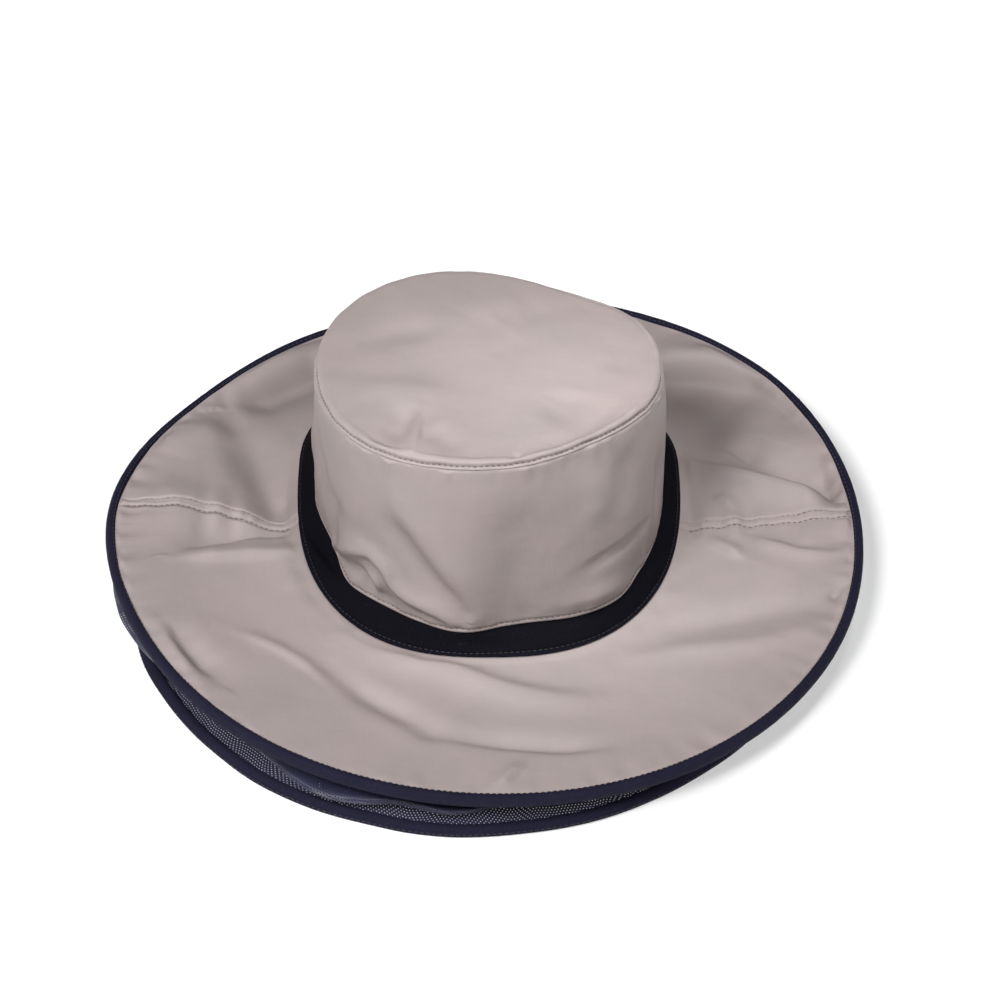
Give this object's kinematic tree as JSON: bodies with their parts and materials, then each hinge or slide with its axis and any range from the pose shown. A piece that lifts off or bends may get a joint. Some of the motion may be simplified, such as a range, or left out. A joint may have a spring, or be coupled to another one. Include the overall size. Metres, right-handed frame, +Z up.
{
  "type": "mosquito net hat",
  "caption": "Wide-brimmed fabric sun hat with a flat-topped crown, a ribbon band, a hooped brim edge and a mosquito net folded away under the brim.",
  "frame": {"origin": "centre of the hat's footprint, on the surface that it rests on", "axes": "+Z up through the crown, -Y towards the hat's front, +X to the hat's right-hand brim seam as seen from the front"},
  "size_m": [0.3706, 0.3674, 0.1234],
  "materials": {
    "taupe_taffeta": "soft satin sheen, close plain weave",
    "navy_ribbon": "matt woven ribbon",
    "navy_net": "fine open net, folded in layers"
  },
  "bodies": {
    "root": {"crown_tip": "taupe_taffeta", "crown_side": "taupe_taffeta", "crown_band": "navy_ribbon", "brim_front": "taupe_taffeta", "brim_rear": "taupe_taffeta", "brim_binding": "navy_ribbon", "net": "navy_net", "net_hem": "navy_ribbon"}
  },
  "joints": []
}
